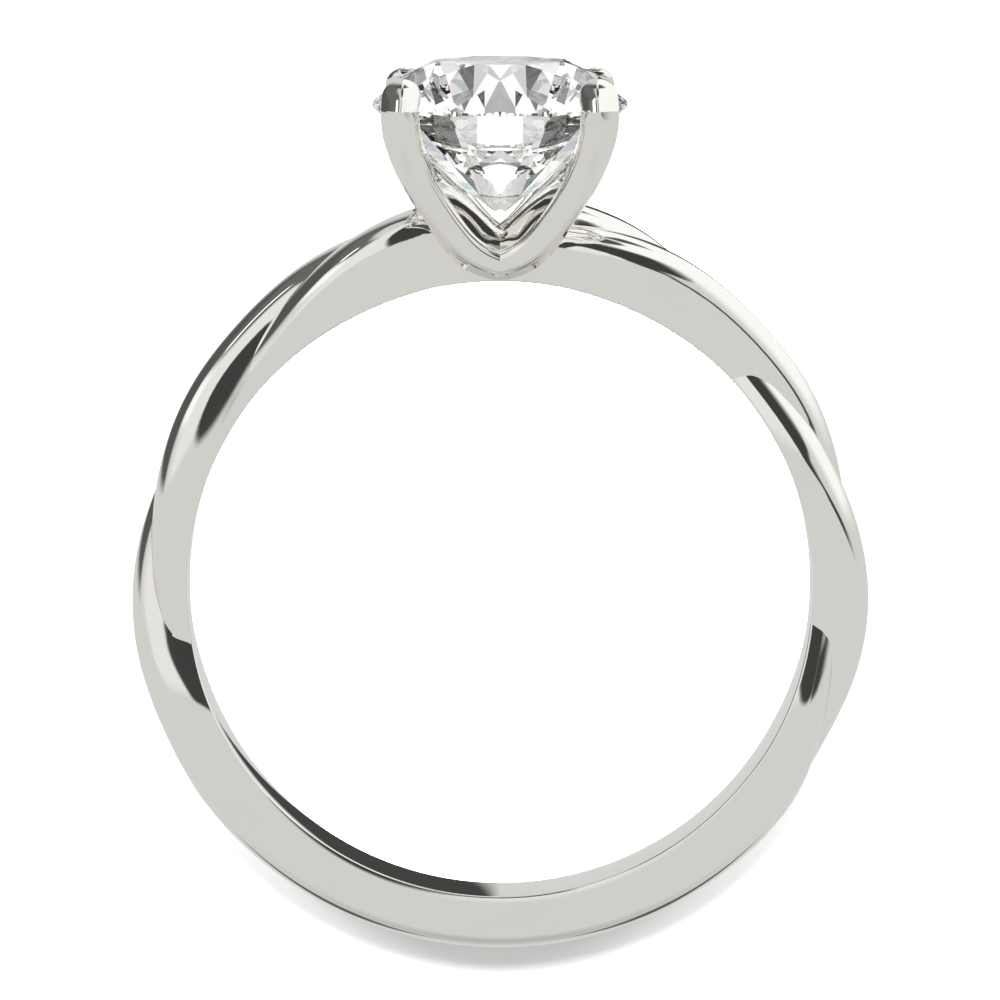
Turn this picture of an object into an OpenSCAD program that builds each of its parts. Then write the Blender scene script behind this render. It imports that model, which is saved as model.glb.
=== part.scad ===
// Solitaire ring: a twisted band, a four-prong head soldered to it, and one round brilliant.
// Ring frame: X to the right, Y from the finger's centre to the stone, Z along the finger.
// The whole ring is then laid on its side, resting on the stone's girdle and the back of the band,
// with the origin on the floor in the middle of its footprint.

/* [Finger] */
// Inside diameter of the band (16.9 is US size 6.5)
finger_d = 16.9; // [16:0.1:19]

/* [Band] */
// Thickness of the plain back and of a strand where it rides on top
band_t = 1.58; // [1.5:0.01:1.7]
// Greatest half width of the plain back
back_half_w = 0.93; // [0.88:0.01:1]
// Greatest half width of one strand
strand_half_w = 0.68; // [0.62:0.01:0.76]
// How far a strand sways to the front and to the back
strand_sway = 0.42; // [0.3:0.01:0.46]
// How far a strand rises above and sinks below its mean height
strand_rise = 0.34; // [0.2:0.01:0.36]
// Height of the rounded crest of a strand
crest_h = 0.6; // [0.5:0.01:0.7]
// Angle round the finger between two crossings
cross_step = 49; // [46:0.5:52]
// Extra height of the strands beside the head
shoulder_rise = 0.66; // [0.4:0.01:0.8]
// Extra width of the strands beside the head, as a share
shoulder_widen = 0.28; // [0.1:0.01:0.35]
// Height of the saddle under the stone, above the finger hole
saddle_t = 1.28; // [1.1:0.01:1.4]

/* [Stone] */
// Diameter of the stone (6.8 is about 1.2 carat)
stone_d = 6.82; // [6.4:0.01:7]
// Height of the girdle's middle above the finger's centre
girdle_h = 13.08; // [12.9:0.01:13.3]
// Table width as a share of the diameter, corner to corner
table_share = 0.542; // [0.5:0.001:0.6]
// Slope of the crown's main facets
crown_angle = 35; // [32:0.1:37]
// Slope of the pavilion's main facets
pavilion_angle = 40.6; // [40:0.1:41.5]
// Thickness of the girdle where two facets meet it
girdle_t = 0.17; // [0.15:0.01:0.22]
// Gap between the stone and the metal of its seat
seat_gap = 0.03; // [0.02:0.01:0.06]

/* [Head] */
// Distance of each prong from the stone's axis, to the side and to the front
prong_off = 2.62; // [2.56:0.01:2.7]
// Radius of a prong at the girdle
prong_r = 0.5; // [0.46:0.01:0.54]
// Height of the foot of the front V above the finger's centre
foot_h = 8.93; // [8.9:0.01:9]
// How far in front of the band's middle the foot of the V stands
foot_out = 1.25; // [1.2:0.01:1.3]

/* [Hidden] */
inner_r = finger_d / 2;
stone_r = stone_d / 2;

// Grid of the band: rings round the finger, points round a section
band_rings = 144;
strand_sides = 12;
search_steps = 14;
wire_sides = 10;
wire_steps = 3;
cap_steps = 3;
girdle_steps = 4;

// Angles from the head between which something fades in or out
widen_zone = [17, 50];
saddle_zone = [4.5, 12];
left_fade = [98, 126];
right_fade = [106, 140];
band_turns = 3;
faint = 0.12;

// The middle of a section and the depth of its flanks, as shares of the mean thickness
middle_share = 0.4;
flank_share = 1.21;
saddle_half_w = 1.2;

function smooth(x) = let (c = min(max(x, 0), 1)) c * c * (3 - 2 * c);
function ramp(zone, x) = smooth((x - zone[0]) / (zone[1] - zone[0]));
function blend(a, b, k) = a + (b - a) * k;

// Shares at angle t: low under the stone, broad beside the head, twisted against plain
function low(t) = 1 - ramp(saddle_zone, abs(t));
function broad(t) = 1 - ramp(widen_zone, abs(t));
function twisted(t) = (1 - ramp(t < 0 ? left_fade : right_fade, abs(t))) * (1 - low(t));

// Mean height of the strands' crests above the finger hole
function mean_t(t) = band_t - strand_rise * twisted(t) + shoulder_rise * broad(t);

// Angles where the twist starts and ends; the plain back finishes the last of the band's turns
twist_start = -left_fade[1];
twist_end = right_fade[1];
turn_per_degree = 180 / cross_step;
turn_left = 360 * band_turns - turn_per_degree * (twist_end - twist_start);
back_turn = turn_left / (360 + twist_start - twist_end);

// Turn of strand k at angle t: a strand rides on top at 0 and lies below at 180
function turn(t, k) = turn_per_degree * min(t, twist_end) + back_turn * max(t - twist_end, 0) + 180 * k;

// One strand at angle t: its crest, its sway and its half width
function swing(t) = strand_sway * (1 + shoulder_widen * broad(t));
function crest(t, k) =
    inner_r + blend(mean_t(t) + strand_rise * twisted(t) * cos(turn(t, k)), saddle_t, low(t));
function sway(t, k) = -swing(t) * twisted(t) * sin(turn(t, k));
function half_w(t) =
    blend(blend(back_half_w, strand_half_w, twisted(t)) * (1 + shoulder_widen * broad(t)),
        saddle_half_w, low(t));

// Where a ray leaves an ellipse with half axes a and c; the ray starts at p and points along d
function leave(p, d, a, c) =
    let (
        qa = pow(d[0] / a, 2) + pow(d[1] / c, 2),
        qb = p[0] * d[0] / (a * a) + p[1] * d[1] / (c * c),
        qc = pow(p[0] / a, 2) + pow(p[1] / c, 2) - 1,
        inside = qb * qb - qa * qc
    )
    inside < 0 ? -1 : (sqrt(inside) - qb) / qa;

// Distance from the section's middle to the skin of strand k, along the ray at angle b
function skin(t, k, b) =
    let (
        d = [sin(b), cos(b)],
        shoulder = crest(t, k) - crest_h,
        p = [-sway(t, k), middle(t) - shoulder],
        up = leave(p, d, half_w(t), crest_h),
        down = leave(p, d, half_w(t), flank_share * mean_t(t))
    )
    (up > 0 && p[1] + up * d[1] >= 0) ? up : down;

function middle(t) = inner_r + middle_share * blend(mean_t(t), saddle_t, low(t));

// Direction of strand 0 as seen from strand 1, as an angle in the section
function lead(t) = atan2(-swing(t) * sin(turn(t, 0)), strand_rise * cos(turn(t, 0)));

// How far round from there the crease lies where the two strands meet, on side 1 or -1
function meet(t, side, low_end, high_end, steps) =
    let (mid = (low_end + high_end) / 2, b = lead(t) + side * mid)
    steps == 0 ? mid :
    skin(t, 0, b) > skin(t, 1, b) ? meet(t, side, mid, high_end, steps - 1) :
    meet(t, side, low_end, mid, steps - 1);
function crease(t, side) = blend(90, meet(t, side, 0, 180, search_steps), min(twisted(t) / faint, 1));

// A point of the band's skin: the outer one of the two strands
function band_point(t, b) =
    let (
        far = max(skin(t, 0, b), skin(t, 1, b)),
        r = middle(t) + far * cos(b)
    )
    [r * sin(t), r * cos(t), far * sin(b)];

// One ring of points: first those on strand 0 from crease to crease, then those on strand 1
function band_ring(t) =
    let (
        start = lead(t) + crease(t, 1),
        own = crease(t, 1) + crease(t, -1)
    )
    [
        for (k = [0, 1], j = [0:strand_sides - 1])
            band_point(t, start - k * own - (k == 0 ? own : 360 - own) * j / strand_sides)
    ];

// Both strands as one solid, still closed at the finger
module twisted_strands() {
    sides = 2 * strand_sides;
    points = [
        for (i = [0:band_rings - 1]) each band_ring(twist_start + 360 * i / band_rings)
    ];
    faces = [
        for (i = [0:band_rings - 1], j = [0:sides - 1])
            let (
                here = i * sides,
                next = ((i + 1) % band_rings) * sides,
                k = (j + 1) % sides
            )
            each [[here + j, here + k, next + j], [next + j, here + k, next + k]]
    ];
    polyhedron(points, faces);
}

// Stone, in its own frame with its axis along Z

table_r = stone_r * table_share;
girdle_top = girdle_h + girdle_t / 2;
girdle_low = girdle_h - girdle_t / 2;
table_h = girdle_top + (stone_r - table_r) * tan(crown_angle);
culet_h = girdle_low - stone_r * tan(pavilion_angle);

// The tips of the star facets and of the lower halves, half an eighth turn from the main facets
half_eighth = 22.5;
eighth = 45;
star_share = 0.5;
lower_share = 0.23;
star_r = blend(table_r * cos(half_eighth), stone_r, star_share);
star_h = table_h - (star_r * cos(half_eighth) - table_r) * tan(crown_angle);
lower_r = stone_r * lower_share;
lower_h = culet_h + lower_r * cos(half_eighth) * tan(pavilion_angle);
girdle_points = 16 * girdle_steps;

// Angle from a point of the girdle to the nearest star tip
function off_tip(a) = let (part = a % eighth) min(part, eighth - part);

// Height at which the half facets below a tip cut the round girdle
function girdle_cut(a, tip_r, tip_h, edge_h) =
    let (
        off = off_tip(a),
        far = sin(off) / sin(half_eighth),
        near = (stone_r * cos(off) - tip_r - far * (stone_r * cos(half_eighth) - tip_r)) / (stone_r - tip_r)
    )
    tip_h + (near + far) * (edge_h - tip_h);

function ring_point(r, a, h) = [r * cos(a), r * sin(a), h];

module brilliant() {
    first_star = 8;
    first_top = 16;
    first_low = first_top + girdle_points;
    first_tip = first_low + girdle_points;
    culet = first_tip + 8;
    per_half = girdle_points / 16;
    points = concat(
        [for (i = [0:7]) ring_point(table_r, half_eighth + eighth * i, table_h)],
        [for (i = [0:7]) ring_point(star_r, eighth * i, star_h)],
        [
            for (j = [0:girdle_points - 1])
                let (a = 360 * j / girdle_points)
                ring_point(stone_r, a, girdle_cut(a, star_r, star_h, girdle_top))
        ],
        [
            for (j = [0:girdle_points - 1])
                let (a = 360 * j / girdle_points)
                ring_point(stone_r, a, girdle_cut(a, lower_r, lower_h, girdle_low))
        ],
        [for (i = [0:7]) ring_point(lower_r, eighth * i, lower_h)],
        [[0, 0, culet_h]]
    );
    // A point of the girdle by its place, counted in half facets from the first star tip
    function top(n) = first_top + n % girdle_points;
    function under(n) = first_low + n % girdle_points;
    faces = concat(
        [[for (i = [7:-1:0]) i]],
        [for (i = [0:7]) [(i + 7) % 8, i, first_star + i]],
        [
            for (i = [0:7])
                [i, first_star + (i + 1) % 8, top((2 * i + 1) * per_half), first_star + i]
        ],
        [
            for (i = [0:7], side = [0, 1])
                let (from = (2 * i + 15 + side) * per_half)
                concat([first_star + i], [for (n = [per_half:-1:0]) top(from + n)])
        ],
        [
            for (j = [0:girdle_points - 1])
                [top(j), top(j + 1), under(j + 1), under(j)]
        ],
        [
            for (i = [0:7], side = [0, 1])
                let (from = (2 * i + 15 + side) * per_half)
                concat([for (n = [0:per_half]) under(from + n)], [first_tip + i])
        ],
        [
            for (i = [0:7])
                [under((2 * i + 1) * per_half), first_tip + (i + 1) % 8, culet, first_tip + i]
        ]
    );
    polyhedron(points, faces);
}

// Room for the stone: its turned profile, a little larger all round
module stone_room() {
    rotate([-90, 0, 0])
        rotate_extrude($fn = 64)
            polygon([
                [0, culet_h - 2 * seat_gap],
                [lower_r + seat_gap, lower_h - seat_gap],
                [stone_r + seat_gap, girdle_low - seat_gap],
                [stone_r + seat_gap, girdle_top + seat_gap],
                [star_r + seat_gap, star_h + seat_gap],
                [table_r + seat_gap, table_h + seat_gap],
                [0, table_h + seat_gap]
            ]);
}

// Wires of the head

// A prong and its half of the V: height, sideways place, forward place and radius as shares
prong_rows = [
    // [height, sideways, forward, radius]
    [1.085, 0.91, 0.845, 0.9],
    [1, 0.985, 0.975, 0.99],
    [0.9, 1, 0.97, 1],
    [0.78, 0.965, 0.85, 0.96],
    [0.595, 0.863, 0.62, 0.89],
    [0.422, 0.706, 0.44, 0.85],
    [0.27, 0.542, 0.285, 0.82],
    [0.137, 0.374, 0.153, 0.76],
    [0.048, 0.19, 0.058, 0.7],
    [0, -0.03, 0, 0.64]
];

// A brace from a prong to the saddle between two prongs of one side
brace_rows = [
    // [height, sideways, forward, radius]
    [0.645, 0.88, 0.85, 0.74],
    [0.5, 0.75, 0.66, 0.74],
    [0.38, 0.6, 0.46, 0.74],
    [0.295, 0.47, 0.28, 0.74],
    [0.24, 0.37, 0.12, 0.74],
    [0.22, 0.33, -0.03, 0.74]
];

v_h = girdle_h - foot_h;
function prong_station(row) = [
    row[1] * prong_off,
    foot_h + row[0] * v_h,
    blend(foot_out, prong_off, row[2]),
    row[3] * prong_r
];
function brace_station(row) = [
    row[1] * prong_off,
    foot_h + row[0] * v_h,
    row[2] * prong_off,
    row[3] * prong_r
];

// Smooth curve through stations, between station i and the next
function between(rows, i, k) =
    let (
        a = rows[max(i - 1, 0)],
        b = rows[i],
        c = rows[i + 1],
        d = rows[min(i + 2, len(rows) - 1)]
    )
    (2 * b + (c - a) * k + (2 * a - 5 * b + 4 * c - d) * k * k + (3 * b - a - 3 * c + d) * k * k * k) / 2;

function place(s) = [s[0], s[1], s[2]];
function unit(v) = v / norm(v);

// Rounded end: smaller and smaller rings beyond a station, along direction d
function round_end(s, d) = [
    for (m = [1:cap_steps])
        let (a = 80 * m / cap_steps, p = place(s) + d * s[3] * sin(a))
        [p[0], p[1], p[2], s[3] * cos(a)]
];
function backwards(list) = [for (i = [len(list) - 1:-1:0]) list[i]];

// Wire with round ends along a smooth curve through stations of [x, y, z, radius]
module wire(stations, level) {
    middle_part = [
        for (i = [0:len(stations) - 2], m = [0:wire_steps - 1]) between(stations, i, m / wire_steps)
    ];
    body = concat(middle_part, [stations[len(stations) - 1]]);
    n = len(body);
    first_d = unit(place(body[0]) - place(body[1]));
    last_d = unit(place(body[n - 1]) - place(body[n - 2]));
    path = concat(backwards(round_end(body[0], first_d)), body, round_end(body[n - 1], last_d));
    rings = len(path);
    points = [
        for (i = [0:rings - 1])
            let (
                along = unit(place(path[min(i + 1, rings - 1)]) - place(path[max(i - 1, 0)])),
                side = unit(cross(along, level)),
                up = cross(side, along)
            )
            for (j = [0:wire_sides - 1])
                let (a = 360 * j / wire_sides)
                place(path[i]) + path[i][3] * (cos(a) * side + sin(a) * up)
    ];
    faces = concat(
        [[for (j = [wire_sides - 1:-1:0]) j]],
        [
            for (i = [0:rings - 2], j = [0:wire_sides - 1])
                let (here = i * wire_sides, next = here + wire_sides, k = (j + 1) % wire_sides)
                each [[here + j, next + k, next + j], [here + j, here + k, next + k]]
        ],
        [[for (j = [0:wire_sides - 1]) (rings - 1) * wire_sides + j]]
    );
    polyhedron(points, faces);
}

module prong() {
    wire([for (row = prong_rows) prong_station(row)], [0, 0, 1]);
}

module brace() {
    wire([for (row = brace_rows) brace_station(row)], [0, 1, 0]);
}

module head() {
    for (left = [0, 1], rear = [0, 1])
        mirror([left, 0, 0])
            mirror([0, 0, rear]) {
                prong();
                brace();
            }
}

// How far the ring leans when it lies on its side, on the girdle and the back of the band
back_shoulder = inner_r + band_t - crest_h;
lean = atan((stone_r - back_half_w) / (girdle_low + back_shoulder));
rest_h = stone_r * cos(lean) - girdle_low * sin(lean);

// How far it then reaches, from the finger's centre to the table's edge and to the back of the band
reach_up = table_h * cos(lean) + table_r * cos(half_eighth) * sin(lean);
reach_down =
    back_shoulder * cos(lean) + norm([crest_h * cos(lean), back_half_w * sin(lean)]);

module lay_down() {
    translate([0, (reach_down - reach_up) / 2, rest_h])
        rotate([lean, 0, 0])
            children();
}

module band_and_setting() {
    color("silver")
        lay_down()
            difference() {
                union() {
                    twisted_strands();
                    head();
                }
                cylinder(h = 4 * stone_d, d = finger_d, center = true, $fn = 96);
                stone_room();
            }
}

module round_stone() {
    color("white")
        lay_down()
            rotate([-90, 0, 0])
                brilliant();
}

band_and_setting();
round_stone();
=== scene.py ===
import math

import bpy
import numpy as np
from mathutils import Matrix, Vector


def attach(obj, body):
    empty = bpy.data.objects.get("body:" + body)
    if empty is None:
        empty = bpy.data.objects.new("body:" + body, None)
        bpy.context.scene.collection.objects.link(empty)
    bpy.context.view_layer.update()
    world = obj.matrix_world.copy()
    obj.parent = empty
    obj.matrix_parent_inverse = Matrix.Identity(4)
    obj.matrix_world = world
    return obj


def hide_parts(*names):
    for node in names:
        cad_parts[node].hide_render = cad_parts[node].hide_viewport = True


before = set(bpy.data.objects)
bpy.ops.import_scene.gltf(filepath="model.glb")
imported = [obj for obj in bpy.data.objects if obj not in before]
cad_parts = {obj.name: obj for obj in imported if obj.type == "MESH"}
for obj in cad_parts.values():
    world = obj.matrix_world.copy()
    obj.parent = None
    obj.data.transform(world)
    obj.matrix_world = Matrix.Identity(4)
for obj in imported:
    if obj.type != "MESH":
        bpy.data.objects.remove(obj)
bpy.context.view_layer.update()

MM = 0.001

# Sizes in millimetres, the same as in the part's source.
# Ring frame: X to the right, Y from the finger's centre to the stone, Z along the finger.
FINGER_R = 8.45
BAND_T = 1.58
BACK_HALF_W = 0.93
STRAND_HALF_W = 0.68
STRAND_SWAY = 0.42
STRAND_RISE = 0.34
CREST_H = 0.6
CROSS_STEP = 49.0
SHOULDER_RISE = 0.66
SHOULDER_WIDEN = 0.28
SADDLE_T = 1.28
SADDLE_HALF_W = 1.2
MIDDLE_SHARE = 0.4
FLANK_SHARE = 1.21
PLAIN_SQUARE = 2.7
STRAND_SQUARE = 2.3
WIDEN_ZONE = (17.0, 50.0)
SADDLE_ZONE = (4.5, 12.0)
LEFT_FADE = (98.0, 126.0)
RIGHT_FADE = (106.0, 140.0)
BAND_TURNS = 3
# Below this share of twist the creases move to a quarter turn from the strands' lead
FAINT = 0.12
EDGE_ROUND = 0.06
# The widening is a mean over so many degrees to either side, taken at so many angles
BROAD_WITHIN = 5
BROAD_ANGLES = 11
# The finger hole's cutter: its inner radius as a share of the finger's, and its reach either way
CUTTER_SHARE = 0.5
CUTTER_REACH = 4

STONE_R = 3.41
GIRDLE_H = 13.08
GIRDLE_T = 0.17
TABLE_SHARE = 0.542
STAR_SHARE = 0.5
LOWER_SHARE = 0.23
CROWN_ANGLE = math.radians(35.0)
PAVILION_ANGLE = math.radians(40.6)
SEAT_GAP = 0.03
# Facets of one kind stand an eighth of a turn apart
FACETS = 8
FACET_STEP = math.pi / 4
HALF_STEP = math.pi / 8

PRONG_OFF = 2.62
PRONG_R = 0.5
FOOT_H = 8.93
FOOT_OUT = 1.25
HEAD_H = GIRDLE_H - FOOT_H
PRONG_SQUARE = 2.8
BRACE_SQUARE = 2.0
# Extra depth and slant of a prong's inner side, as shares of its radius, and the depths below the
# girdle between which they come in
SEAT = (0.3, 2.0)
SEAT_ZONE = (0.3, 4.15)
# How far a prong's outer side stands out behind its front face, as a share of its radius, how high
# above the foot that ends, and how far behind the front it is full
RIM = 0.5
RIM_TOP = 1.6
RIM_BACK = 0.45
# A prong's tip bends back over the stone: its rise, how far it goes outwards and forwards, and how
# high its dome is for its width
TIP = (0.33, -0.02, -0.24)
DOME = 0.92
TIP_STEPS = 6
# Slope, place and roundness of the ridge down the tip, and the heights over which it comes in,
# counted from the girdle
RIDGE = 0.56
RIDGE_PLACE = 0.05
RIDGE_ROUND = 0.06
RIDGE_ZONE = (-2.4, 0.0)
# How much closer the lengthways lines lie at the middle of a wire's front and back
GATHER = 0.3

# Height, sideways place, forward place and radius of a prong and its half of the V, as shares
PRONG_ROWS = [
    (1.01, 0.998, 0.975, 1.045),
    (0.9, 1.0, 0.97, 1.02),
    (0.78, 0.965, 0.85, 0.96),
    (0.595, 0.863, 0.62, 0.89),
    (0.422, 0.706, 0.44, 0.85),
    (0.27, 0.542, 0.285, 0.82),
    (0.137, 0.374, 0.153, 0.76),
    (0.048, 0.19, 0.058, 0.7),
    (0.0, -0.03, 0.0, 0.64),
]
# The same for a brace, from a prong to the saddle between two prongs of one side
BRACE_ROWS = [
    (0.645, 0.88, 0.85, 0.74),
    (0.5, 0.75, 0.66, 0.74),
    (0.38, 0.6, 0.46, 0.74),
    (0.295, 0.47, 0.28, 0.74),
    (0.24, 0.37, 0.12, 0.74),
    (0.22, 0.33, -0.03, 0.74),
]

# How finely each surface is built
BAND_RINGS = 470
FINE_STEPS = 7200
# How much closer together the rings stand at a crossing of the strands, and within how many degrees
CLOSER = 3.5
CLOSER_WITHIN = 3.5
STRAND_SIDES = 40
WIRE_SIDES = 64
WIRE_STEPS = 10
EASE_PASSES = 40
CAP_STEPS = 8
CAP_END = math.radians(86)
ROUND_STEPS = 5
GIRDLE_POINTS = 128
# How often a search halves its range
FLANK_HALVINGS = 24
CREASE_HALVINGS = 40
# Edges sharper than this stay sharp, and a noted normal further out than the second isn't used
SHARP_ANGLE = math.radians(30.0)
STRAY_ANGLE = math.radians(60.0)

# Laying the ring on its side, as the source does
GIRDLE_TOP = GIRDLE_H + GIRDLE_T / 2
GIRDLE_LOW = GIRDLE_H - GIRDLE_T / 2
TABLE_R = STONE_R * TABLE_SHARE
TABLE_H = GIRDLE_TOP + (STONE_R - TABLE_R) * math.tan(CROWN_ANGLE)
CULET_H = GIRDLE_LOW - STONE_R * math.tan(PAVILION_ANGLE)
BACK_SHOULDER = FINGER_R + BAND_T - CREST_H
LEAN = math.atan((STONE_R - BACK_HALF_W) / (GIRDLE_LOW + BACK_SHOULDER))
REST_H = STONE_R * math.cos(LEAN) - GIRDLE_LOW * math.sin(LEAN)
REACH_UP = TABLE_H * math.cos(LEAN) + TABLE_R * math.cos(HALF_STEP) * math.sin(LEAN)
REACH_DOWN = BACK_SHOULDER * math.cos(LEAN) + math.hypot(
    CREST_H * math.cos(LEAN), BACK_HALF_W * math.sin(LEAN)
)
LAY_DOWN = (
    Matrix.Translation((0, (REACH_DOWN - REACH_UP) / 2 * MM, REST_H * MM))
    @ Matrix.Rotation(LEAN, 4, "X")
    @ Matrix.Scale(MM, 4)
)


def smooth(x):
    c = np.clip(x, 0, 1)
    return c * c * (3 - 2 * c)


def ramp(zone, x):
    return smooth((x - zone[0]) / (zone[1] - zone[0]))


def mix(a, b, k):
    return a + (b - a) * k


# The band's strands at angle t in degrees, measured from the stone, clockwise from the front
def low(t):
    return 1 - ramp(SADDLE_ZONE, np.abs(t))


def broad(t):
    """The mean over a few degrees, so that reflections don't jump where the widening ends."""
    steps = np.linspace(-BROAD_WITHIN, BROAD_WITHIN, BROAD_ANGLES)
    return np.mean([1 - ramp(WIDEN_ZONE, np.abs(t + off)) for off in steps], 0)


def twisted(t):
    fade = np.where(t < 0, ramp(LEFT_FADE, -t), ramp(RIGHT_FADE, t))
    return (1 - fade) * (1 - low(t))


def mean_t(t):
    return BAND_T - STRAND_RISE * twisted(t) + SHOULDER_RISE * broad(t)


TWIST_START = -LEFT_FADE[1]
TWIST_END = RIGHT_FADE[1]
TURN_RATE = 180 / CROSS_STEP
BACK_RATE = (360 * BAND_TURNS - TURN_RATE * (TWIST_END - TWIST_START)) / (
    360 + TWIST_START - TWIST_END
)


def turn(t, k):
    back = np.maximum(t - TWIST_END, 0)
    return np.radians(TURN_RATE * np.minimum(t, TWIST_END) + BACK_RATE * back + 180 * k)


def swing(t):
    return STRAND_SWAY * (1 + SHOULDER_WIDEN * broad(t))


def crest(t, k):
    twist = mean_t(t) + STRAND_RISE * twisted(t) * np.cos(turn(t, k))
    return FINGER_R + mix(twist, SADDLE_T, low(t))


def sway(t, k):
    return -swing(t) * twisted(t) * np.sin(turn(t, k))


def half_w(t):
    plain = mix(BACK_HALF_W, STRAND_HALF_W, twisted(t)) * (1 + SHOULDER_WIDEN * broad(t))
    return mix(plain, SADDLE_HALF_W, low(t))


def flank(t):
    return FLANK_SHARE * mean_t(t)


def flank_square(t):
    return mix(PLAIN_SQUARE, STRAND_SQUARE, twisted(t))


def middle(t):
    return FINGER_R + MIDDLE_SHARE * mix(mean_t(t), SADDLE_T, low(t))


def leave(px, py, dx, dy, a, c):
    """Where a ray from p along d leaves an ellipse with half axes a and c; -1 where it misses."""
    qa = (dx / a) ** 2 + (dy / c) ** 2
    qb = px * dx / (a * a) + py * dy / (c * c)
    qc = (px / a) ** 2 + (py / c) ** 2 - 1
    inside = qb * qb - qa * qc
    return np.where(inside < 0, -1, (np.sqrt(np.maximum(inside, 0)) - qb) / qa)


def leave_flank(px, py, dx, dy, a, c, square):
    """The same for a flank, whose sides stay flat longer the higher its squareness."""
    oval = leave(px, py, dx, dy, a, c)
    near, far = oval, oval + 2 * c
    for _ in range(FLANK_HALVINGS):
        mid = (near + far) / 2
        inside = np.abs((px + mid * dx) / a) ** square + np.abs((py + mid * dy) / c) ** square < 1
        near = np.where(inside, mid, near)
        far = np.where(inside, far, mid)
    return np.where(oval > 0, near, -1)


def skin(t, k, b):
    """Distance from the section's middle to the skin of strand k along the ray at angle b."""
    dx, dy = np.sin(b), np.cos(b)
    px = -sway(t, k)
    py = middle(t) - (crest(t, k) - CREST_H)
    up = leave(px, py, dx, dy, half_w(t), CREST_H)
    down = leave_flank(px, py, dx, dy, half_w(t), flank(t), flank_square(t))
    return np.where((up > 0) & (py + up * dy >= 0), up, down)


def lead(t):
    """Direction of strand 0 as seen from strand 1, in the section."""
    return np.arctan2(-swing(t) * np.sin(turn(t, 0)), STRAND_RISE * np.cos(turn(t, 0)))


def crease(t, side):
    """How far round from the lead the two strands meet, on one side."""
    near = np.zeros_like(t)
    far = np.full_like(t, math.pi)
    for _ in range(CREASE_HALVINGS):
        mid = (near + far) / 2
        b = lead(t) + side * mid
        own = skin(t, 0, b) > skin(t, 1, b)
        near = np.where(own, mid, near)
        far = np.where(own, far, mid)
    return mix(math.pi / 2, (near + far) / 2, np.minimum(twisted(t) / FAINT, 1))


def ring_point(t, radius, z):
    a = np.radians(t)
    return np.stack([radius * np.sin(a), radius * np.cos(a), z + 0 * a], -1)


def new_object(name, points, faces):
    mesh = bpy.data.meshes.new(name)
    mesh.from_pydata([tuple(p) for p in points], [], [tuple(f) for f in faces])
    mesh.update()
    obj = bpy.data.objects.new(name, mesh)
    bpy.context.scene.collection.objects.link(obj)
    return obj


def loop_grid(rings, sides):
    """Quads between rings that close on themselves, with the last ring joined to the first."""
    i, j = np.meshgrid(np.arange(rings), np.arange(sides), indexing="ij")
    here, after = i * sides, (i + 1) % rings * sides
    k = (j + 1) % sides
    return np.stack([here + j, here + k, after + k, after + j], -1).reshape(-1, 4)


def band_stations():
    """Angles of the band's rings, which stand closer together where the strands cross."""
    fine = TWIST_START + 360 * np.arange(FINE_STEPS) / FINE_STEPS
    crossings = [n * CROSS_STEP for n in (-2, -1, 1, 2)]
    near = sum(np.exp(-(((fine - place) / CLOSER_WITHIN) ** 2)) for place in crossings)
    share = np.append(0, np.cumsum(1 + CLOSER * near))
    wanted = np.arange(BAND_RINGS) / BAND_RINGS
    return np.interp(wanted, share / share[-1], np.append(fine, TWIST_START + 360))


def twisted_strands():
    """Both strands as one closed skin whose lengthways lines follow the creases between them."""
    t = band_stations()
    start = lead(t) + crease(t, 1)
    own = crease(t, 1) + crease(t, -1)
    share = np.arange(STRAND_SIDES) / STRAND_SIDES
    first = start[:, None] - own[:, None] * share
    second = (start - own)[:, None] - (2 * math.pi - own)[:, None] * share
    b = np.concatenate([first, second], 1)
    tt = np.repeat(t[:, None], b.shape[1], 1)
    far = np.maximum(skin(tt, 0, b), skin(tt, 1, b))
    points = ring_point(tt, middle(tt) + far * np.cos(b), far * np.sin(b)).reshape(-1, 3)
    quads = loop_grid(BAND_RINGS, b.shape[1])
    triangles = np.concatenate([quads[:, [0, 1, 3]], quads[:, [3, 1, 2]]])
    return new_object("strands", points, triangles)


def metal_reach(t, radius):
    """How far the band's metal reaches to the back and to the front at a radius near the finger."""
    lows, highs = [], []
    for k in (0, 1):
        depth = crest(t, k) - CREST_H - radius
        side = np.where(depth > 0, flank(t), CREST_H)
        square = np.where(depth > 0, flank_square(t), 2)
        w = half_w(t) * np.maximum(1 - (np.abs(depth) / side) ** square, 0) ** (1 / square)
        lows.append(sway(t, k) - w)
        highs.append(sway(t, k) + w)
    return np.minimum(*lows), np.maximum(*highs)


def finger_cutter():
    """The finger hole as a cutter, flared so that both edges of the inner wall come out rounded."""
    t = band_stations()
    inner, outer = CUTTER_SHARE * FINGER_R, FINGER_R + EDGE_ROUND
    back, front = metal_reach(t, outer)
    columns = [(inner, -CUTTER_REACH + 0 * t), (outer, -CUTTER_REACH + 0 * t)]
    for s in range(ROUND_STEPS + 1):
        a = math.pi / 2 * s / ROUND_STEPS
        columns.append((outer - EDGE_ROUND * math.sin(a), back + EDGE_ROUND * (1 - math.cos(a))))
    for s in range(ROUND_STEPS, -1, -1):
        a = math.pi / 2 * s / ROUND_STEPS
        columns.append((outer - EDGE_ROUND * math.sin(a), front - EDGE_ROUND * (1 - math.cos(a))))
    columns += [(outer, CUTTER_REACH + 0 * t), (inner, CUTTER_REACH + 0 * t)]
    points = np.stack([ring_point(t, r + 0 * t, z) for r, z in columns], 1).reshape(-1, 3)
    return new_object("finger_cutter", points, loop_grid(BAND_RINGS, len(columns)))


# The head's wires
def prong_stations():
    return np.array([
        (s * PRONG_OFF, FOOT_H + h * HEAD_H, mix(FOOT_OUT, PRONG_OFF, f), r * PRONG_R)
        for h, s, f, r in PRONG_ROWS
    ])


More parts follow.
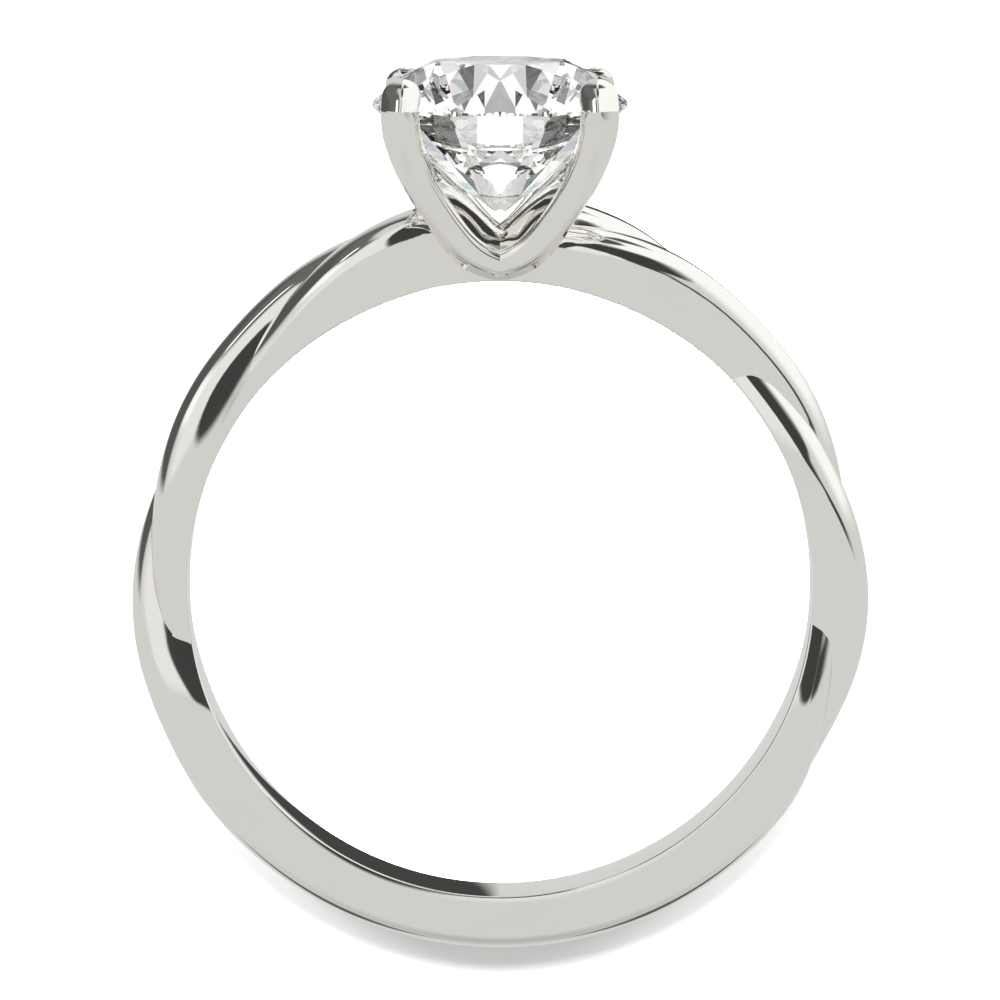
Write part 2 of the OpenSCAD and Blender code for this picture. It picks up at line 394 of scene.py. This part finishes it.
def brace_stations():
    return np.array([
        (s * PRONG_OFF, FOOT_H + h * HEAD_H, f * PRONG_OFF, r * PRONG_R)
        for h, s, f, r in BRACE_ROWS
    ])


def smooth_path(rows):
    """A cubic curve through the rows, whose slope at each row follows the rows beside it."""
    path = []
    for i in range(len(rows) - 1):
        a, b, c, d = rows[max(i - 1, 0)], rows[i], rows[i + 1], rows[min(i + 2, len(rows) - 1)]
        for m in range(WIRE_STEPS):
            k = m / WIRE_STEPS
            path.append(
                (2 * b + (c - a) * k + (2 * a - 5 * b + 4 * c - d) * k ** 2
                 + (3 * b - a - 3 * c + d) * k ** 3) / 2
            )
    path.append(rows[-1])
    return np.array(path)


def round_end(station, direction):
    cap = []
    for m in range(1, CAP_STEPS + 1):
        a = CAP_END * m / CAP_STEPS
        centre = station[:3] + direction * station[3] * math.sin(a)
        cap.append([*centre, station[3] * math.cos(a)])
    return np.array(cap)


def bent_tip(path, bend):
    """Adds a straight tip at an angle to a wire's path, with a sharp bend where it starts."""
    top = path[0] + np.array([bend[1], bend[0], bend[2], 0])
    steps = np.arange(TIP_STEPS)[:, None] / TIP_STEPS
    return np.concatenate([mix(top[None, :], path[0][None, :], steps), path])


def unit(v):
    return v / np.linalg.norm(v, axis=-1, keepdims=True)


def wire_path(stations, tip_bend):
    """A wire's middle line and radii with round ends, and how many of its rings the tip has."""
    path = smooth_path(stations)
    for _ in range(EASE_PASSES):
        path[1:-1] = (path[:-2] + 2 * path[1:-1] + path[2:]) / 4
    tail_cap = round_end(path[-1], unit(path[-1, :3] - path[-2, :3]))
    head = unit(path[0, :3] - path[1, :3])
    bent = 0
    if tip_bend:
        path = bent_tip(path, tip_bend)
        head = (path[0, :3] - path[1, :3]) * (DOME / (path[0, 1] - path[1, 1]))
        bent = TIP_STEPS + CAP_STEPS + 1
    return np.concatenate([round_end(path[0], head)[::-1], path, tail_cap]), bent


def wire_faces(rings, mirrored):
    """Quads round a wire and a flat face on each end, turned over where the wire is mirrored."""
    faces = [tuple(range(WIRE_SIDES))[::-1]]
    for i in range(rings - 1):
        here, after = i * WIRE_SIDES, (i + 1) * WIRE_SIDES
        for j in range(WIRE_SIDES):
            k = (j + 1) % WIRE_SIDES
            faces.append((here + j, here + k, after + k, after + j))
    faces.append(tuple((rings - 1) * WIRE_SIDES + j for j in range(WIRE_SIDES)))
    return [f[::-1] for f in faces] if mirrored else faces


def wire(name, stations, level, squareness, flip, seat=(0, 0), rim=0, ridge=0, tip_bend=None):
    """A wire with round ends; squareness 2 is round, and more gives it flatter sides.

    Below the girdle a seat deepens the wire's inner side and slants it up towards the stone, and
    near the foot a rim widens it behind its front face. A bent tip keeps level sections, and a
    ridge runs down it.
    """
    path, bent = wire_path(stations, tip_bend)
    n = len(path)
    spine = path[:, :3]
    rings = np.arange(n)
    along = unit(spine[np.minimum(rings + 1, n - 1)] - spine[np.maximum(rings - 1, 0)])
    along[:bent] = along[bent]
    across = unit(np.cross(along, np.array(level, float)))
    up = np.cross(across, along)
    # x and y run round a section of radius 1, x across it and y towards its front face
    a = 2 * math.pi * np.arange(WIRE_SIDES) / WIRE_SIDES
    a += GATHER * np.sin(2 * a)
    c, s = np.cos(a), np.sin(a)
    power = 2 / squareness
    x = np.sign(c) * np.abs(c) ** power
    y = np.sign(s) * np.abs(s) ** power
    below = ramp(SEAT_ZONE, GIRDLE_H - spine[:, 1])[:, None]
    inner = np.maximum(-y, 0)[None, :] * below
    foot = (1 - ramp((0, RIM_TOP), spine[:, 1] - FOOT_H))[:, None]
    outer = (smooth((RIM_BACK - y) / RIM_BACK) * np.maximum(-x, 0))[None, :] * foot
    tip = ramp(RIDGE_ZONE, spine[:, 1] - GIRDLE_H)[:, None]
    fall = ((np.hypot(x - RIDGE_PLACE, RIDGE_ROUND) - RIDGE_ROUND) * (y > 0))[None, :] * tip
    sideways = x[None, :] + seat[1] * inner - rim * outer
    deep = y[None, :] * (1 - ridge * fall) - seat[0] * inner
    points = spine[:, None] + path[:, 3, None, None] * (
        sideways[..., None] * across[:, None] + deep[..., None] * up[:, None]
    )
    points = points.reshape(-1, 3) * np.array([flip[0], 1, flip[1]])
    return new_object(name, points, wire_faces(n, flip[0] * flip[1] < 0))


def stone_room():
    """The stone's turned profile, a little larger all round."""
    profile = [
        (LOWER_R + SEAT_GAP, LOWER_H - SEAT_GAP),
        (STONE_R + SEAT_GAP, GIRDLE_LOW - SEAT_GAP),
        (STONE_R + SEAT_GAP, GIRDLE_TOP + SEAT_GAP),
        (STAR_R + SEAT_GAP, STAR_H + SEAT_GAP),
        (TABLE_R + SEAT_GAP, TABLE_H + SEAT_GAP),
    ]
    n = GIRDLE_POINTS
    a = 2 * math.pi * np.arange(n) / n
    points = [(r * math.sin(x), h, r * math.cos(x)) for r, h in profile for x in a]
    foot = len(points)
    points += [(0, CULET_H - 2 * SEAT_GAP, 0), (0, TABLE_H + SEAT_GAP, 0)]
    faces = []
    for i in range(len(profile) - 1):
        for j in range(n):
            k = (j + 1) % n
            faces.append((i * n + j, i * n + k, (i + 1) * n + k, (i + 1) * n + j))
    last = (len(profile) - 1) * n
    for j in range(n):
        k = (j + 1) % n
        faces.append((foot, k, j))
        faces.append((foot + 1, last + j, last + k))
    return new_object("stone_room", points, faces)


def cut(target, tool, operation):
    """Joins, or cuts away, one closed solid and removes the tool."""
    step = target.modifiers.new("step", "BOOLEAN")
    step.operation = operation
    step.solver = "MANIFOLD"
    step.object = tool
    bpy.context.view_layer.update()
    result = target.evaluated_get(bpy.context.evaluated_depsgraph_get())
    made = bpy.data.meshes.new_from_object(result)
    target.modifiers.clear()
    old, target.data = target.data, made
    bpy.data.meshes.remove(old)
    gone = tool.data
    bpy.data.objects.remove(tool)
    bpy.data.meshes.remove(gone)


# The stone
STAR_R = mix(TABLE_R * math.cos(HALF_STEP), STONE_R, STAR_SHARE)
STAR_H = TABLE_H - (STAR_R * math.cos(HALF_STEP) - TABLE_R) * math.tan(CROWN_ANGLE)
LOWER_R = STONE_R * LOWER_SHARE
LOWER_H = CULET_H + LOWER_R * math.cos(HALF_STEP) * math.tan(PAVILION_ANGLE)


def girdle_cut(a, tip_r, tip_h, edge_h):
    """Height at angle a where the half facets that rise from a facet's tip meet the girdle."""
    part = a % FACET_STEP
    off = min(part, FACET_STEP - part)
    far = math.sin(off) / math.sin(HALF_STEP)
    near = (STONE_R * math.cos(off) - tip_r - far * (STONE_R * math.cos(HALF_STEP) - tip_r)) / (
        STONE_R - tip_r
    )
    return tip_h + (near + far) * (edge_h - tip_h)


def round_brilliant():
    """Table, star, bezel and half facets above a round girdle; half and main facets below it."""
    n, per = GIRDLE_POINTS, GIRDLE_POINTS // (2 * FACETS)

    def at(r, a, h):
        return (r * math.cos(a), h, -r * math.sin(a))

    points = [at(TABLE_R, HALF_STEP + FACET_STEP * i, TABLE_H) for i in range(FACETS)]
    points += [at(STAR_R, FACET_STEP * i, STAR_H) for i in range(FACETS)]
    turns = [2 * math.pi * j / n for j in range(n)]
    points += [at(STONE_R, a, girdle_cut(a, STAR_R, STAR_H, GIRDLE_TOP)) for a in turns]
    points += [at(STONE_R, a, girdle_cut(a, LOWER_R, LOWER_H, GIRDLE_LOW)) for a in turns]
    points += [at(LOWER_R, FACET_STEP * i, LOWER_H) for i in range(FACETS)]
    points.append((0, CULET_H, 0))
    star, top = FACETS, 2 * FACETS
    under, tip = top + n, top + 2 * n
    culet = tip + FACETS
    faces = [tuple(range(FACETS))]
    for i in range(FACETS):
        after = (i + 1) % FACETS
        faces.append((star + i, i, (i - 1) % FACETS))
        faces.append((i, star + i, top + (2 * i + 1) * per, star + after))
        faces.append((tip + i, culet, tip + after, under + (2 * i + 1) * per))
        for side in (0, 1):
            edge = [(2 * i - 1 + side) * per + m for m in range(per + 1)]
            faces.append((star + i, *[top + m % n for m in edge]))
            faces.append((tip + i, *[under + m % n for m in reversed(edge)]))
    for j in range(n):
        k = (j + 1) % n
        faces.append((top + j, under + j, under + k, top + k))
    return new_object("round_brilliant", points, faces)


def note_shading(obj):
    """Notes the smooth normal of each face corner, which then lasts through every cut."""
    mesh = obj.data
    mesh.shade_smooth()
    mesh.set_sharp_from_angle(angle=SHARP_ANGLE)
    normals = np.empty(len(mesh.loops) * 3, np.float32)
    mesh.corner_normals.foreach_get("vector", normals)
    mesh.attributes.new("shading", "FLOAT_VECTOR", "CORNER").data.foreach_set("vector", normals)


def use_shading(obj):
    """Shades each face with the normals noted before the cuts, turned about where a tool cut."""
    mesh = obj.data
    normals = np.empty(len(mesh.loops) * 3, np.float32)
    mesh.attributes["shading"].data.foreach_get("vector", normals)
    faces = np.empty(len(mesh.polygons) * 3, np.float32)
    mesh.polygon_normals.foreach_get("vector", faces)
    corners = np.empty(len(mesh.polygons), np.int32)
    mesh.polygons.foreach_get("loop_total", corners)
    outward = np.repeat(faces.reshape(-1, 3), corners, 0)
    normals = normals.reshape(-1, 3)
    normals *= np.where((normals * outward).sum(1) < 0, -1, 1)[:, None]
    astray = (normals * outward).sum(1) < math.cos(STRAY_ANGLE)
    normals[astray] = outward[astray]
    mesh.attributes.remove(mesh.attributes["shading"])
    mesh.shade_smooth()
    mesh.normals_split_custom_set(unit(normals).tolist())


def build_metal():
    metal = twisted_strands()
    head = []
    for side in (1, -1):
        for face in (1, -1):
            head.append(wire("prong", prong_stations(), (0, 0, 1), PRONG_SQUARE, (side, face),
                             SEAT, RIM, RIDGE, TIP))
            head.append(wire("brace", brace_stations(), (0, 1, 0), BRACE_SQUARE, (side, face)))
    steps = [(piece, "UNION") for piece in head]
    steps += [(finger_cutter(), "DIFFERENCE"), (stone_room(), "DIFFERENCE")]
    note_shading(metal)
    for tool, operation in steps:
        note_shading(tool)
        cut(metal, tool, operation)
    use_shading(metal)
    return metal


def finish_piece(obj, name, node, material):
    obj.name = obj.data.name = name
    obj.data.transform(LAY_DOWN)
    obj.data.update()
    obj.data.materials.clear()
    obj.data.materials.append(material)
    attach(obj, "root")
    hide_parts(node)
    return obj


# Finishes. Patch sizes, widths and depths are in millimetres.
NOISE_PATCHES = (0.35, 0.65)
NOISE_HAIRLINES = (0.6, 0.75)
PATCH_DETAIL = 3.0
HAIRLINE_DETAIL = 1.0
HAIRLINE_TURN = (0.5, 0.3, 0.9)
HAIRLINE_STRETCH = (1.0, 0.03, 1.0)

GOLD_BRIGHT = (0.885, 0.874, 0.828, 1)
GOLD_DULL = (0.874, 0.865, 0.819, 1)
GOLD_PATCH = 2.4
GOLD_HAIRLINE = 0.04
GOLD_ROUGH = (0.022, 0.036)
GOLD_HAIRLINE_ROUGH = 0.02
RELIEF_STRENGTH = 0.05
RELIEF_DEPTH = 0.0005

STONE_IOR = 2.417
STONE_PATCH = 0.8
STONE_HAIRLINE = 0.02
STONE_HAIRLINE_ROUGH = 0.004
GIRDLE_ROUGH = 0.03
# A face whose normal has less than this share along the stone's axis belongs to the girdle
GIRDLE_FACING = 0.1


def value_node(tree, operation, *inputs):
    node = tree.nodes.new("ShaderNodeMath")
    node.operation = operation
    for socket, given in zip(node.inputs, inputs):
        if isinstance(given, (int, float)):
            socket.default_value = given
        else:
            tree.links.new(given, socket)
    return node.outputs[0]


def stretch(tree, value, low, high, to_low, to_high):
    """Spreads a value between two limits over another range."""
    spread = tree.nodes.new("ShaderNodeMapRange")
    tree.links.new(value, spread.inputs["Value"])
    spread.inputs["From Min"].default_value = low
    spread.inputs["From Max"].default_value = high
    spread.inputs["To Min"].default_value = to_low
    spread.inputs["To Max"].default_value = to_high
    return spread.outputs["Result"]


def colour_mix(tree):
    """A node that blends two colours: its factor, both colours' inputs and its output."""
    blend = tree.nodes.new("ShaderNodeMix")
    blend.data_type = "RGBA"
    under, over = [s for s in blend.inputs if s.name in "AB" and s.type == "RGBA"]
    return blend.inputs["Factor"], under, over, next(s for s in blend.outputs if s.type == "RGBA")


def build_polish_marks():
    """The cloudy patches and fine hairlines that a polishing wheel leaves, as masks from 0 to 1."""
    group = bpy.data.node_groups.new("polish_marks", "ShaderNodeTree")
    face = group.interface
    face.new_socket("Place", in_out="INPUT", socket_type="NodeSocketVector")
    for name in ("Patch Size", "Hairline Width"):
        face.new_socket(name, in_out="INPUT", socket_type="NodeSocketFloat")
    for name in ("Patches", "Hairlines"):
        face.new_socket(name, in_out="OUTPUT", socket_type="NodeSocketFloat")
    given = group.nodes.new("NodeGroupInput").outputs
    result = group.nodes.new("NodeGroupOutput").inputs
    cloud = group.nodes.new("ShaderNodeTexNoise")
    cloud.inputs["Detail"].default_value = PATCH_DETAIL
    group.links.new(given["Place"], cloud.inputs["Vector"])
    patches_per_metre = value_node(group, "DIVIDE", 1 / MM, given["Patch Size"])
    group.links.new(patches_per_metre, cloud.inputs["Scale"])
    patches = stretch(group, cloud.outputs[0], *NOISE_PATCHES, 0, 1)
    group.links.new(patches, result["Patches"])
    drawn = group.nodes.new("ShaderNodeMapping")
    drawn.inputs["Rotation"].default_value = HAIRLINE_TURN
    drawn.inputs["Scale"].default_value = HAIRLINE_STRETCH
    group.links.new(given["Place"], drawn.inputs["Vector"])
    lines = group.nodes.new("ShaderNodeTexNoise")
    lines.inputs["Detail"].default_value = HAIRLINE_DETAIL
    group.links.new(drawn.outputs["Vector"], lines.inputs["Vector"])
    lines_per_metre = value_node(group, "DIVIDE", 1 / MM, given["Hairline Width"])
    group.links.new(lines_per_metre, lines.inputs["Scale"])
    hairlines = stretch(group, lines.outputs[0], *NOISE_HAIRLINES, 0, 1)
    group.links.new(hairlines, result["Hairlines"])
    return group


POLISH_MARKS = build_polish_marks()


def polish_on(tree, patch_size, hairline_width):
    """The marks' two masks, and the surface's own direction, for one material."""
    marks = tree.nodes.new("ShaderNodeGroup")
    marks.node_tree = POLISH_MARKS
    place = tree.nodes.new("ShaderNodeTexCoord")
    tree.links.new(place.outputs["Object"], marks.inputs["Place"])
    marks.inputs["Patch Size"].default_value = patch_size
    marks.inputs["Hairline Width"].default_value = hairline_width
    return marks.outputs["Patches"], marks.outputs["Hairlines"], place.outputs["Normal"]


def polished_white_gold():
    mat = bpy.data.materials.new("polished_white_gold")
    mat.use_nodes = True
    tree = mat.node_tree
    shader = tree.nodes["Principled BSDF"]
    shader.inputs["Metallic"].default_value = 1.0
    patches, hairlines, _ = polish_on(tree, GOLD_PATCH, GOLD_HAIRLINE)
    tone, bright, dull, toned = colour_mix(tree)
    bright.default_value = GOLD_BRIGHT
    dull.default_value = GOLD_DULL
    tree.links.new(patches, tone)
    tree.links.new(toned, shader.inputs["Base Color"])
    haze = stretch(tree, patches, 0, 1, *GOLD_ROUGH)
    scratches = value_node(tree, "MULTIPLY", hairlines, GOLD_HAIRLINE_ROUGH)
    tree.links.new(value_node(tree, "ADD", haze, scratches), shader.inputs["Roughness"])
    relief = tree.nodes.new("ShaderNodeBump")
    relief.inputs["Strength"].default_value = RELIEF_STRENGTH
    relief.inputs["Distance"].default_value = RELIEF_DEPTH * MM
    tree.links.new(hairlines, relief.inputs["Height"])
    tree.links.new(relief.outputs["Normal"], shader.inputs["Normal"])
    return mat


def clear_stone():
    """Clear and bright, with faint polishing lines on the facets and a slightly ground girdle."""
    mat = bpy.data.materials.new("clear_stone")
    mat.use_nodes = True
    tree = mat.node_tree
    shader = tree.nodes["Principled BSDF"]
    shader.inputs["Base Color"].default_value = (1, 1, 1, 1)
    shader.inputs["IOR"].default_value = STONE_IOR
    shader.inputs["Transmission Weight"].default_value = 1.0
    _, hairlines, facing = polish_on(tree, STONE_PATCH, STONE_HAIRLINE)
    axis = tree.nodes.new("ShaderNodeVectorMath")
    axis.operation = "DOT_PRODUCT"
    tree.links.new(facing, axis.inputs[0])
    axis.inputs[1].default_value = (0, math.cos(LEAN), math.sin(LEAN))
    upright = value_node(tree, "ABSOLUTE", axis.outputs["Value"])
    girdle = value_node(tree, "LESS_THAN", upright, GIRDLE_FACING)
    ground = value_node(tree, "MULTIPLY", girdle, GIRDLE_ROUGH)
    lines = value_node(tree, "MULTIPLY", hairlines, STONE_HAIRLINE_ROUGH)
    tree.links.new(value_node(tree, "MAXIMUM", ground, lines), shader.inputs["Roughness"])
    return mat


metal = finish_piece(build_metal(), "twisted_band_and_head", "band_and_setting",
                     polished_white_gold())
stone = finish_piece(round_brilliant(), "round_brilliant", "round_stone",
                     clear_stone())
# Light reaches the floor through a clear stone
stone.visible_shadow = False


# Floor, light and camera
FLOOR_CORNERS = [(-1, -1, 0), (1, -1, 0), (1, 1, 0), (-1, 1, 0)]
FLOOR_COLOUR = (0.9, 0.9, 0.9, 1)
FLOOR_ROUGH = 0.9


def pale_floor():
    floor = new_object("pale_floor", FLOOR_CORNERS, [(0, 1, 2, 3)])
    mat = bpy.data.materials.new("pale_floor")
    mat.use_nodes = True
    shader = mat.node_tree.nodes["Principled BSDF"]
    shader.inputs["Base Color"].default_value = FLOOR_COLOUR
    shader.inputs["Roughness"].default_value = FLOOR_ROUGH
    floor.data.materials.append(mat)
    floor.visible_glossy = False
    floor.visible_transmission = False


# Grey, white and dark cards round the ring, each laid over the ones before it: brightness, then the
# left, right, bottom and top edges as (place, softness) or (place, softness, slope) in degrees.
# Across is 0 in front of the ring and 90 to its right; up is 0 level with the finger and 90 above
# the stone. A slope tilts an edge by so much for each degree along it.
STUDIO_GREY = 0.71
STUDIO_CARDS = [
    (0.52, None, None, None, (-65, 44)),
    (0.88, (-60, 40), (3, 6), (2, 6), None),
    (1.08, (66, 46), (176, 6), (8, 14), None),
    (1.10, (26, 30), None, (58, 10, -0.12), None),
    (0.052, (5.5, 4, -0.55), (58, 40), (-1, 3, 0.55), (64, 14, -0.22)),
    (0.055, (5.5, 4, -0.55), (24, 16), (0.5, 2.5), (14, 4)),
    (0.058, (21, 7), (62, 36), (1.5, 2.5, -0.15), (9.5, 3, -0.17)),
    (0.10, (-152, 24), (-82, 18), (1, 6), (58, 8)),
    (0.15, (-140, 20), (-54, 16), (40, 8), (58, 8)),
    (1.10, (-84, 16), (-50, 16), (20, 8), (36, 8)),
    (0.06, (163, 3), (179.3, 2), (-2.2, 1.4), (26, 8)),
    (0.12, (128, 6), (160, 6), (-66, 6), (-44, 6)),
    (0.12, (-160, 6), (-128, 6), (-66, 6), (-44, 6)),
    (0.10, (132, 6), (158, 6), (54, 5), (70, 5)),
    (0.10, (-158, 6), (-132, 6), (54, 5), (70, 5)),
    (0.10, None, None, (74, 4), None),
    (1.9, (-82, 2), (-75, 2), (41, 2), (51, 2)),
]

# The same for what the stone throws out again, alike to the left and to the right of the ring.
# Red, green and blue leave a cut stone a few degrees apart, which colours the cards' edges.
COLOUR_BEND = (-0.8, 0.0, 0.8)
SPARKLE_WHITE = 1.35
SPARKLE_CARDS = [
    (0.25, None, (27, 6), None, (52, 6)),
    (0.25, None, None, (67, 6), None),
    (0.25, (94, 4), (112, 4), None, None),
    (0.25, None, (110, 10), None, (-54, 6)),
    (0.60, (112, 8), None, None, (-62, 8)),
    (1.05, (116, 5), (174, 4), (-4, 5), (8, 8)),
    (0.80, (161, 4), (171, 4), (-4, 3), (1.2, 2)),
    (0.55, (118, 4), (130, 4), (-7, 2), (-1.2, 1)),
    (0.80, (38, 4), (50, 4), (0, 4), (11, 4)),
    (0.85, (147, 4), (156, 4), (11, 4), (18, 4)),
    (0.66, (130, 4), (141, 4), (14, 4), (23, 4)),
    (0.62, (158, 6), (174, 6), (54, 5), (66, 5)),
    (0.0, (147.5, 2.5), (160.5, 3), (-6, 3), (2.2, 2)),
    (0.09, (140.5, 2), (147.5, 3), (-18, 4), (-8.4, 1.5)),
    (0.60, (161, 3), (172.5, 3), (0.8, 2), (9, 4)),
    (0.85, (164, 4), (174, 3), (-26, 4), (-18.6, 2)),
    (0.40, (54, 4), (67, 4), (35.5, 3), (46, 5)),
    (0.12, (47.5, 3), (56, 3), (-16, 4), (-8.8, 1.5)),
    (0.08, (55, 3), (64, 3), (-5.4, 2), (3.6, 4)),
    (0.50, (173, 5), None, (29, 6), (44, 6)),
    (0.58, (78, 5), (90, 5), (37, 4), (47, 4)),
    (0.52, (33, 5), (45, 5), (50, 4), (59, 4)),
    (0.62, (136, 6), (158, 8), (42, 6), (64, 6)),
    (0.10, (84, 4), (97, 4), (-54, 6), (-34, 6)),
    (0.62, (144, 5), (160, 6), (-38, 5), (-27, 5)),
]

# Brightness of what the camera sees past the floor, and of the sky that lights the floor
BACKDROP = 0.85
FLOOR_LIGHT = 0.7
# Place and aim in metres, width in metres and power in watts
HEAD_LAMP = ((0, 0.026, 0.045), (0, 0, 0), 0.034, 0.10)
HOLE_LAMP = ((0, -0.002, 0.012), (0, 0, 0), 0.006, 0.005)
LEFT_LAMP = ((-0.016, -0.003, 0.010), (-0.009, -0.004, 0), 0.006, 0.0018)
RIGHT_LAMP = ((0.016, -0.003, 0.010), (0.009, -0.004, 0), 0.006, 0.0014)


def card_edge(tree, value, other, edge, far_side):
    """1 on the card's side of an edge and 0 beyond it."""
    place, softness, slope = (*edge, 0)[:3]
    if slope:
        value = value_node(tree, "SUBTRACT", value, value_node(tree, "MULTIPLY", other, slope))
    step = stretch(tree, value, place - softness / 2, place + softness / 2,
                   1 if far_side else 0, 0 if far_side else 1)
    step.node.interpolation_type = "SMOOTHSTEP"
    # This kind stays within its limits by itself, and clamping fills the renderer's node space
    step.node.clamp = False
    return step


def lay_card(tree, under, across, up, card):
    """Blends one card over the brightness under it."""
    bright, left, right, bottom, top = card
    mask = None
    for edge, value, other, far_side in (
        (left, across, up, False), (right, across, up, True),
        (bottom, up, across, False), (top, up, across, True),
    ):
        if edge:
            side = card_edge(tree, value, other, edge, far_side)
            mask = side if mask is None else value_node(tree, "MULTIPLY", mask, side)
    blend = tree.nodes.new("ShaderNodeMix")
    tree.links.new(mask, blend.inputs["Factor"])
    tree.links.new(under, blend.inputs["A"])
    blend.inputs["B"].default_value = bright
    return blend.outputs["Result"]


def laid_cards(tree, background, cards, across, up):
    shade = tree.nodes.new("ShaderNodeValue").outputs[0]
    shade.default_value = background
    for card in cards:
        shade = lay_card(tree, shade, across, up, card)
    return shade


def world_angles(tree):
    """Where a ray leaves for, in degrees across and up as the ring lies."""
    place = tree.nodes.new("ShaderNodeTexCoord")
    level = tree.nodes.new("ShaderNodeVectorRotate")
    level.rotation_type = "X_AXIS"
    level.inputs["Angle"].default_value = -LEAN
    tree.links.new(place.outputs["Generated"], level.inputs["Vector"])
    split = tree.nodes.new("ShaderNodeSeparateXYZ")
    tree.links.new(level.outputs["Vector"], split.inputs["Vector"])
    x, y, z = split.outputs
    across = value_node(tree, "DEGREES", value_node(tree, "ARCTAN2", x, z))
    up = value_node(tree, "DEGREES", value_node(tree, "ARCSINE", y))
    return across, up


def soft_light():
    """Grey, white and dark cards for the metal's reflections and others for the stone's sparkle.

    The camera and the floor see a plain light instead.
    """
    world = bpy.data.worlds.new("studio")
    bpy.context.scene.world = world
    world.use_nodes = True
    # Polished faces find the cards by themselves, and the floor's light is the same all round
    world.cycles.sampling_method = "NONE"
    tree = world.node_tree
    tree.nodes.clear()
    across, up = world_angles(tree)
    colour = laid_cards(tree, STUDIO_GREY, STUDIO_CARDS, across, up)
    either_side = value_node(tree, "ABSOLUTE", across)
    sparkle = tree.nodes.new("ShaderNodeCombineColor")
    for channel, bend in zip(sparkle.inputs, COLOUR_BEND):
        bent = [value_node(tree, "ADD", value, bend) for value in (either_side, up)]
        tree.links.new(laid_cards(tree, SPARKLE_WHITE, SPARKLE_CARDS, *bent), channel)
    sight = tree.nodes.new("ShaderNodeLightPath").outputs
    light = tree.nodes.new("ShaderNodeBackground")
    for ray, seen in (
        ("Transmission", sparkle.outputs["Color"]), ("Camera", BACKDROP), ("Diffuse", FLOOR_LIGHT),
    ):
        factor, under, over, chosen = colour_mix(tree)
        tree.links.new(sight[f"Is {ray} Ray"], factor)
        tree.links.new(colour, under)
        if isinstance(seen, float):
            over.default_value = (seen, seen, seen, 1)
        else:
            tree.links.new(seen, over)
        colour = chosen
    tree.links.new(colour, light.inputs["Color"])
    end = tree.nodes.new("ShaderNodeOutputWorld")
    tree.links.new(light.outputs["Background"], end.inputs["Surface"])


def floor_lamp(name, place, aim, wide, power):
    """A round lamp that lights the floor alone."""
    data = bpy.data.lights.new(name, "AREA")
    data.shape = "DISK"
    data.size = wide
    data.energy = power
    lamp = bpy.data.objects.new(name, data)
    bpy.context.scene.collection.objects.link(lamp)
    lamp.location = place
    towards = Vector(aim) - Vector(place)
    lamp.rotation_euler = towards.to_track_quat("-Z", "Y").to_euler()
    lamp.visible_camera = False
    lamp.visible_glossy = False
    lamp.visible_transmission = False


# The camera's angle above the finger's axis, its distance and the height it looks at, in
# millimetres of the ring's frame, and its lens
CAMERA_RAISE = math.radians(9.047)
CAMERA_FAR = 140.0
CAMERA_AIM_H = 2.361
FOCAL_PX = 5170.1
IMAGE_PX = 1000
SENSOR = 36.0
CLIP_NEAR = 0.005
CLIP_FAR = 10

MOST_BOUNCES = 16
STONE_BOUNCES = 12


def front_camera():
    data = bpy.data.cameras.new("front")
    data.sensor_width = SENSOR
    data.lens = SENSOR * FOCAL_PX / IMAGE_PX
    data.clip_start = CLIP_NEAR
    data.clip_end = CLIP_FAR
    camera = bpy.data.objects.new("front", data)
    bpy.context.scene.collection.objects.link(camera)
    back = Vector((0, math.sin(CAMERA_RAISE), math.cos(CAMERA_RAISE)))
    up = Vector((0, math.cos(CAMERA_RAISE), -math.sin(CAMERA_RAISE)))
    place = Vector((0, CAMERA_AIM_H, 0)) + CAMERA_FAR * back
    turn_to = Matrix((Vector((1, 0, 0)), up, back)).transposed().to_4x4()
    lean = Matrix.Rotation(LEAN, 4, "X")
    camera.matrix_world = Matrix.Translation(LAY_DOWN @ place) @ lean @ turn_to
    bpy.context.scene.camera = camera


pale_floor()
soft_light()
floor_lamp("head_lamp", *HEAD_LAMP)
floor_lamp("hole_lamp", *HOLE_LAMP)
floor_lamp("left_lamp", *LEFT_LAMP)
floor_lamp("right_lamp", *RIGHT_LAMP)
front_camera()
bpy.context.scene.view_settings.view_transform = "Standard"
# Light turns back many times inside a cut stone
paths = bpy.context.scene.cycles
paths.max_bounces = MOST_BOUNCES
paths.glossy_bounces = paths.transmission_bounces = STONE_BOUNCES
